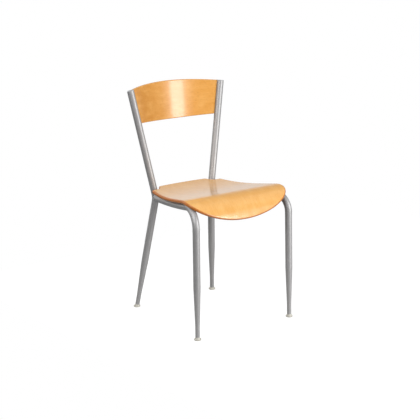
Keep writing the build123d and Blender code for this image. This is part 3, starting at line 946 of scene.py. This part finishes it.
def weld_tree():
    """A bead of weld round the end of a tube that runs into another, and its mirror image.

    A ring round the tube is cast along the tube onto the other one, which gives the seam.
    """
    tree, given, result = new_tree(
        "weld_seam",
        [
            ("Joined tube", "Object"),
            ("Start", "Vector"),
            ("Towards", "Vector"),
            ("Reach", "Float"),
            ("Seam radius", "Float"),
            ("Bead radius", "Float"),
            ("Ripple", "Float"),
            ("Ripple pitch", "Float"),
            ("Material", "Material"),
        ],
    )
    ring = add(
        tree,
        "GeometryNodeCurvePrimitiveCircle",
        {"Resolution": SEAM_POINTS, "Radius": given["Seam radius"]},
    )
    facing = add(tree, "FunctionNodeAlignRotationToVector", {"Vector": given["Towards"]}, axis="Z")
    held = add(
        tree,
        "GeometryNodeTransform",
        {
            "Geometry": ring.outputs[0],
            "Translation": given["Start"],
            "Rotation": facing.outputs[0],
        },
    )
    tube = add(
        tree,
        "GeometryNodeObjectInfo",
        {"Object": given["Joined tube"]},
        transform_space="RELATIVE",
    )
    hit = add(
        tree,
        "GeometryNodeRaycast",
        {
            "Target Geometry": tube.outputs["Geometry"],
            "Source Position": add(tree, "GeometryNodeInputPosition").outputs[0],
            "Ray Direction": given["Towards"],
            "Ray Length": given["Reach"],
        },
    )
    missed = add(tree, "FunctionNodeBooleanMath", {0: hit.outputs["Is Hit"]}, operation="NOT")
    kept = add(
        tree,
        "GeometryNodeDeleteGeometry",
        {"Geometry": held.outputs[0], "Selection": missed.outputs[0]},
    )
    seam = add(
        tree,
        "GeometryNodeSetPosition",
        {"Geometry": kept.outputs[0], "Position": hit.outputs["Hit Position"]},
    )
    even = add(
        tree,
        "GeometryNodeResampleCurve",
        {"Curve": seam.outputs[0], "Length": SEAM_STEP * MM},
        mode="LENGTH",
    )
    length = add(tree, "GeometryNodeSplineParameter").outputs["Length"]
    ripples = add(tree, "ShaderNodeMath", {0: length, 1: given["Ripple pitch"]}, operation="DIVIDE")
    turn = add(tree, "ShaderNodeMath", {0: ripples.outputs[0], 1: 2 * pi}, operation="MULTIPLY")
    wave = add(tree, "ShaderNodeMath", {0: turn.outputs[0]}, operation="SINE")
    swell = add(
        tree,
        "ShaderNodeMath",
        {0: wave.outputs[0], 1: given["Ripple"], 2: 1.0},
        operation="MULTIPLY_ADD",
    )
    section = add(
        tree,
        "GeometryNodeCurvePrimitiveCircle",
        {"Resolution": BEAD_SIDES, "Radius": given["Bead radius"]},
    )
    bead = add(
        tree,
        "GeometryNodeCurveToMesh",
        {
            "Curve": even.outputs[0],
            "Profile Curve": section.outputs[0],
            "Scale": swell.outputs[0],
        },
    )
    mirrored = add(
        tree, "GeometryNodeTransform", {"Geometry": bead.outputs[0], "Scale": (-1.0, 1.0, 1.0)}
    )
    other = add(tree, "GeometryNodeFlipFaces", {0: mirrored.outputs[0]})
    both = add(tree, "GeometryNodeJoinGeometry", {0: bead.outputs[0]})
    tree.links.new(other.outputs[0], both.inputs[0])
    smooth = add(tree, "GeometryNodeSetShadeSmooth", {0: both.outputs[0]})
    whole = add(tree, "GeometryNodeRealizeInstances", {0: smooth.outputs[0]})
    coated = add(
        tree, "GeometryNodeSetMaterial", {0: whole.outputs[0], "Material": given["Material"]}
    )
    tree.links.new(coated.outputs[0], result.inputs[0])
    return tree


# For each seam on the left side: the tube that is joined, and the end, direction and radius of the
# tube that runs into it
ACROSS = Vector((1, 0, 0))
SEAMS = {
    "knee_welds": ("left_rear_leg", KNEE, (KNEE - REAR_CROSS_END).normalized(), TUBE_RADIUS),
    "front_cross_welds": ("left_front_leg", FRONT_CROSS_END, ACROSS, CROSS_RADIUS),
    "rear_cross_welds": ("left_front_leg", REAR_CROSS_END, ACROSS, CROSS_RADIUS),
}
seam_tree = weld_tree()
for name, (joined, end, towards, radius) in SEAMS.items():
    weld = new_piece(name, bpy.data.meshes.new(name), [])
    apply_tree(
        weld,
        seam_tree,
        {
            "Joined tube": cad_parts[joined],
            "Start": (end - towards * WELD_SETBACK) * MM,
            "Towards": towards,
            "Reach": 2 * WELD_SETBACK * MM,
            "Seam radius": radius * SEAM_SHARE * MM,
            "Bead radius": WELD_RADIUS * MM,
            "Ripple": WELD_RIPPLE,
            "Ripple pitch": WELD_RIPPLE_PITCH * MM,
            "Material": coat,
        },
    )
    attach(weld, "root")


# Floor, light and camera


def make_floor():
    # White paper sweep, matt. Its own colour is kept grey, so that little light comes back from it,
    # and it is lifted to white where the camera sees it, and a little where the chair mirrors it.
    mesh = bpy.data.meshes.new("floor")
    corners = [(x, y, 0) for x, y in zip(FLOOR_X + FLOOR_X[::-1], sorted(FLOOR_Y * 2))]
    mesh.from_pydata(corners, [], [(0, 1, 2, 3)])
    floor = bpy.data.objects.new("floor", mesh)
    bpy.context.scene.collection.objects.link(floor)
    material = bpy.data.materials.new("white_paper")
    material.use_nodes = True
    tree = material.node_tree
    tree.nodes.clear()
    path = add(tree, "ShaderNodeLightPath").outputs
    mirrored = add(
        tree,
        "ShaderNodeMath",
        {0: path["Is Glossy Ray"], 1: path["Is Transmission Ray"]},
        operation="MAXIMUM",
    )
    seen = add(
        tree, "ShaderNodeMath", {0: path["Is Camera Ray"], 1: FLOOR_LIFT}, operation="MULTIPLY"
    )
    lift = add(
        tree,
        "ShaderNodeMath",
        {0: mirrored.outputs[0], 1: FLOOR_MIRRORED, 2: seen.outputs[0]},
        operation="MULTIPLY_ADD",
    )
    matt = add(tree, "ShaderNodeBsdfDiffuse", {"Color": linear(PAPER)})
    glow = add(tree, "ShaderNodeEmission", {"Color": linear(WHITE), "Strength": lift.outputs[0]})
    both = add(tree, "ShaderNodeAddShader", {0: matt.outputs[0], 1: glow.outputs[0]})
    add(tree, "ShaderNodeOutputMaterial", {"Surface": both.outputs[0]})
    mesh.materials.append(material)


def make_world():
    # A pale backdrop behind the chair, which fades at its sides, top and foot into a dim room that
    # is lighter above. The camera sees white all round.
    world = bpy.data.worlds.new("studio")
    bpy.context.scene.world = world
    world.use_nodes = True
    tree = world.node_tree
    tree.nodes.clear()
    azimuth = radians(CAMERA_AZIMUTH)
    behind = (-sin(azimuth), cos(azimuth), 0.0)
    direction = add(tree, "ShaderNodeTexCoord").outputs["Generated"]
    facing = add(tree, "ShaderNodeVectorMath", {0: direction, 1: behind}, operation="DOT_PRODUCT")
    height = add(tree, "ShaderNodeSeparateXYZ", {0: direction}).outputs["Z"]
    share = 1.0
    for value, (gone, full) in (
        (facing.outputs["Value"], BACKDROP_SIDES),
        (height, BACKDROP_TOP),
        (height, BACKDROP_FOOT),
    ):
        share = add(
            tree,
            "ShaderNodeMapRange",
            {"Value": value, "From Min": gone, "From Max": full, "To Max": share},
            interpolation_type="SMOOTHSTEP",
        ).outputs[0]
    room = add(
        tree,
        "ShaderNodeMapRange",
        {
            "Value": height,
            "From Min": ROOM_RISE[0],
            "From Max": ROOM_RISE[1],
            "To Min": ROOM_LIGHT[0],
            "To Max": ROOM_LIGHT[1],
        },
        interpolation_type="SMOOTHSTEP",
    )
    around = add(
        tree,
        "ShaderNodeMapRange",
        {"Value": share, "To Min": room.outputs[0], "To Max": BACKDROP_LIGHT},
    )
    seen = add(tree, "ShaderNodeLightPath").outputs["Is Camera Ray"]
    strength = add(tree, "ShaderNodeMath", {0: around.outputs[0], 1: seen}, operation="MAXIMUM")
    light = add(
        tree, "ShaderNodeBackground", {"Color": linear(WHITE), "Strength": strength.outputs[0]}
    )
    add(tree, "ShaderNodeOutputWorld", {"Surface": light.outputs[0]})


def add_softbox(name, place, size, power):
    data = bpy.data.lights.new(name, "AREA")
    data.shape = "RECTANGLE"
    data.size, data.size_y = size
    data.energy = power
    lamp = bpy.data.objects.new(name, data)
    bpy.context.scene.collection.objects.link(lamp)
    lamp.location = place
    lamp.rotation_euler = (LIGHT_TARGET - Vector(place)).to_track_quat("-Z", "Y").to_euler()


def make_camera():
    azimuth = radians(CAMERA_AZIMUTH)
    elevation = radians(CAMERA_ELEVATION)
    back = Vector((sin(azimuth) * cos(elevation), -cos(azimuth) * cos(elevation), sin(elevation)))
    data = bpy.data.cameras.new("camera")
    data.sensor_width = SENSOR_WIDTH
    data.lens = FOCAL_PIXELS * SENSOR_WIDTH / IMAGE_SIZE
    data.shift_x = (IMAGE_SIZE / 2 - TARGET_PIXEL[0]) / IMAGE_SIZE
    data.shift_y = (TARGET_PIXEL[1] - IMAGE_SIZE / 2) / IMAGE_SIZE
    camera = bpy.data.objects.new("camera", data)
    bpy.context.scene.collection.objects.link(camera)
    camera.location = CAMERA_TARGET + back * CAMERA_DISTANCE
    camera.rotation_euler = (-back).to_track_quat("-Z", "Y").to_euler()
    bpy.context.scene.camera = camera


make_floor()
make_world()
for name, softbox in SOFTBOXES.items():
    add_softbox(name, *softbox)
make_camera()
bpy.context.scene.view_settings.view_transform = "Standard"
